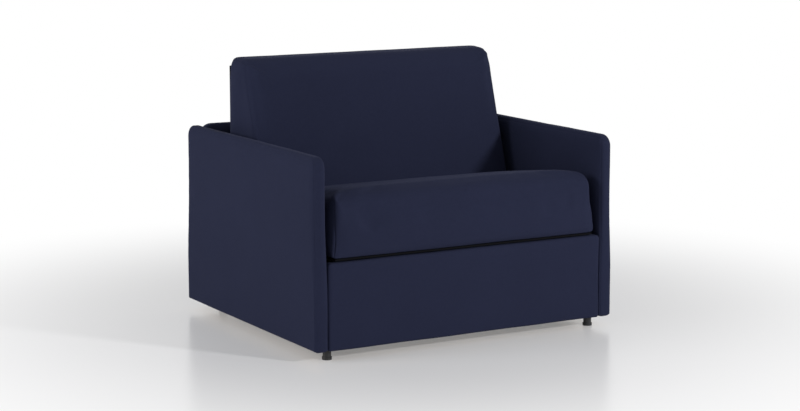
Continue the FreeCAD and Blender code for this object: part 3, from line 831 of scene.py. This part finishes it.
class CHAIRBED_OT_mattress(bpy.types.Operator):
    """Makes the three sections of the mattress, quilted on both faces, and their edge binding"""
    bl_idname = "chair_bed.mattress"
    bl_label = "Make Mattress"

    def execute(self, context):
        pitch = context.scene.chair_bed_sizes.quilt_pitch
        for name, body, thick, seed in MATTRESS:
            low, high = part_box(f"{name}_mattress")
            long_axis = 3 - thick

            def form(points, low=low, high=high):
                return rounded(points, low, high, MATTRESS_ROUND, (MATTRESS_ROUND,) * 4)

            def quilting(points, low=low, high=high, thick=thick, long_axis=long_axis):
                inside = np.minimum(points - np.array(low), np.array(high) - points)
                on_face = inside[:, thick] < 1e-6
                fade = ease(inside[:, long_axis] / QUILT_FADE)
                lift = np.zeros(len(points))
                for axis in (0, long_axis):
                    middle = (low[axis] + high[axis]) / 2
                    turn = (points[:, axis] - middle) / pitch
                    away = np.abs(turn - np.round(turn)) * pitch
                    lift -= QUILT_DEPTH * np.exp(-(away / QUILT_WIDTH) ** 2)
                return lift * on_face * fade

            def border(place, end, thick=thick):
                return 0 if end[0] == thick else 1

            piece = soft_piece(f"{name}_mattress_cover", low, high, form, thick, seed,
                               step=MATTRESS_STEP, finishes=("ticking", "border"),
                               finish_of=border, carve=quilting)
            finish_piece(piece, body, f"{name}_mattress")
            tape = mattress_binding(name, low, high, thick)
            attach(tape, body)
        return {"FINISHED"}


# Finishes of the carried-over construction

# The first ending that fits a node's name gives its finish
FINISH_OF = (
    # The seat and back boards take the near-black lining, which partly stands in as painted shade
    # for the gaps under the cushions
    ("_slats", "beech"), ("seat_board", "lining"), ("back_board", "lining"), ("_board", "birch"),
    ("base_rail", "birch"), ("_foot", "plastic"), ("_glide", "plastic"), ("_pins", "zinc"),
    ("_frame", "steel"), ("_plate", "steel"), ("_link", "steel"), ("_leg", "steel"),
)


class CHAIRBED_OT_construction(bpy.types.Operator):
    """Gives the frames, slats, links, boards and feet their finishes"""
    bl_idname = "chair_bed.construction"
    bl_label = "Finish Construction"

    def execute(self, context):
        for name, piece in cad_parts.items():
            kinds = [kind for ending, kind in FINISH_OF if name.endswith(ending)]
            if kinds:
                piece.data.materials.clear()
                piece.data.materials.append(material(kinds[0]))
        return {"FINISHED"}


# Stage

CAMERA_PLACE = Vector((-3.0776, -5.4019, 1.3656))
CAMERA_PITCH = math.radians(9.321)
CAMERA_YAW = math.radians(29.804)
CAMERA_LENS = 93.17
SENSOR_WIDTH = 36.0
CLIP_END = 60.0
FLOOR_HALF = 14.0
FLOOR_MELT = (0.7, 2.0)
SOFT_LIGHT = 0.33


def stage_floor(colour):
    """Pale floor, slightly glossy, that melts into the white backdrop away from the chair."""
    made = bpy.data.materials.new("pale_floor")
    made.use_nodes = True
    tree = made.node_tree
    tree.nodes.clear()
    surface = node(tree, "BsdfPrincipled", {"Base Color": colour, "Roughness": 0.22,
                                            "Specular IOR Level": 0.35})
    white = node(tree, "Emission", {"Color": (1, 1, 1, 1), "Strength": 1.0})
    place = node(tree, "TexCoord", out="Object")
    far = node(tree, "VectorMath", [place], "Value", operation="LENGTH")
    share = node(tree, "MapRange", {"Value": far, "From Min": FLOOR_MELT[0],
                                    "From Max": FLOOR_MELT[1], "To Min": 0.2, "To Max": 1.0},
                 interpolation_type="SMOOTHSTEP")
    path = node(tree, "LightPath").node.outputs
    seen = node(tree, "Math", [path["Is Camera Ray"], path["Is Glossy Ray"]], operation="MAXIMUM")
    melted = node(tree, "Math", [share, seen], operation="MULTIPLY")
    mixed = node(tree, "MixShader", [melted, surface, white])
    node(tree, "OutputMaterial", {"Surface": mixed})
    return made


def stage_world():
    """Soft light from all round, seen as white by the camera and in reflections."""
    world = bpy.data.worlds.new("studio")
    world.use_nodes = True
    tree = world.node_tree
    tree.nodes.clear()
    path = node(tree, "LightPath").node.outputs
    seen = node(tree, "Math", [path["Is Camera Ray"], path["Is Glossy Ray"]], operation="MAXIMUM")
    seen = node(tree, "Math", [seen, path["Is Transmission Ray"]], operation="MAXIMUM")
    strength = node(tree, "MapRange", {"Value": seen, "To Min": SOFT_LIGHT, "To Max": 1.0})
    back = node(tree, "Background", {"Color": (1, 1, 1, 1), "Strength": strength})
    node(tree, "OutputWorld", {"Surface": back})
    bpy.context.scene.world = world


# Name, place, the point it shines at, size and power
LAMPS = (
    ("side_lamp", (-3.8, 0.3, 1.5), (0, 0, 0.4), 1.8, 60),
    ("front_lamp", (1.85, -3.85, 1.85), (0, 0, 0.45), 0.42, 92),
)


class CHAIRBED_OT_stage(bpy.types.Operator):
    """Makes the floor, the light and the camera"""
    bl_idname = "chair_bed.stage"
    bl_label = "Make Stage"

    def execute(self, context):
        scene = context.scene
        settings = scene.chair_bed_stage
        corners = [(x * FLOOR_HALF, y * FLOOR_HALF, 0)
                   for x, y in ((-1, -1), (1, -1), (1, 1), (-1, 1))]
        mesh = bpy.data.meshes.new("floor")
        mesh.from_pydata(corners, [], [(0, 1, 2, 3)])
        mesh.materials.append(stage_floor(tuple(settings.floor)))
        floor = bpy.data.objects.new("floor", mesh)
        scene.collection.objects.link(floor)
        stage_world()
        for name, place, target, size, power in LAMPS:
            lamp = bpy.data.lights.new(name, "AREA")
            lamp.shape, lamp.size, lamp.energy = "DISK", size, power * settings.lamp_level
            holder = bpy.data.objects.new(name, lamp)
            holder.location = place
            away = Vector(place) - Vector(target)
            holder.rotation_euler = away.to_track_quat("Z", "Y").to_euler()
            scene.collection.objects.link(holder)
        camera = bpy.data.cameras.new("camera")
        camera.sensor_width, camera.sensor_fit = SENSOR_WIDTH, "HORIZONTAL"
        camera.lens, camera.clip_end = CAMERA_LENS, CLIP_END
        holder = bpy.data.objects.new("camera", camera)
        holder.location = CAMERA_PLACE
        level = math.cos(CAMERA_PITCH)
        ahead = Vector((math.sin(CAMERA_YAW) * level, math.cos(CAMERA_YAW) * level,
                        -math.sin(CAMERA_PITCH)))
        holder.rotation_euler = ahead.to_track_quat("-Z", "Y").to_euler()
        scene.collection.objects.link(holder)
        scene.camera = holder
        scene.view_settings.view_transform = "Standard"
        return {"FINISHED"}


class CHAIRBED_PT_panel(bpy.types.Panel):
    bl_idname = "CHAIRBED_PT_panel"
    bl_label = "Chair Bed"
    bl_space_type = "VIEW_3D"
    bl_region_type = "UI"
    bl_category = "Chair Bed"

    def draw(self, context):
        for group in ("chair_bed_fabric", "chair_bed_sizes", "chair_bed_stage"):
            settings = getattr(context.scene, group)
            for name in settings.__annotations__:
                self.layout.prop(settings, name)
        for operator in OPERATORS:
            self.layout.operator(operator.bl_idname)


OPERATORS = (CHAIRBED_OT_stage, CHAIRBED_OT_arms, CHAIRBED_OT_panels, CHAIRBED_OT_seat_cushion,
             CHAIRBED_OT_back_cushion, CHAIRBED_OT_mattress, CHAIRBED_OT_construction)
GROUPS = (("chair_bed_fabric", ChairBedFabric), ("chair_bed_sizes", ChairBedSizes),
          ("chair_bed_stage", ChairBedStage))


def register():
    for name, group in GROUPS:
        bpy.utils.register_class(group)
        setattr(bpy.types.Scene, name, bpy.props.PointerProperty(type=group))
    for operator in OPERATORS:
        bpy.utils.register_class(operator)
    bpy.utils.register_class(CHAIRBED_PT_panel)


def unregister():
    bpy.utils.unregister_class(CHAIRBED_PT_panel)
    for operator in reversed(OPERATORS):
        bpy.utils.unregister_class(operator)
    for name, group in reversed(GROUPS):
        delattr(bpy.types.Scene, name)
        bpy.utils.unregister_class(group)


def main():
    """Makes every piece."""
    register()
    for operator in OPERATORS:
        name = operator.bl_idname.split(".")[1]
        getattr(bpy.ops.chair_bed, name)()


if __name__ == "__main__":
    main()
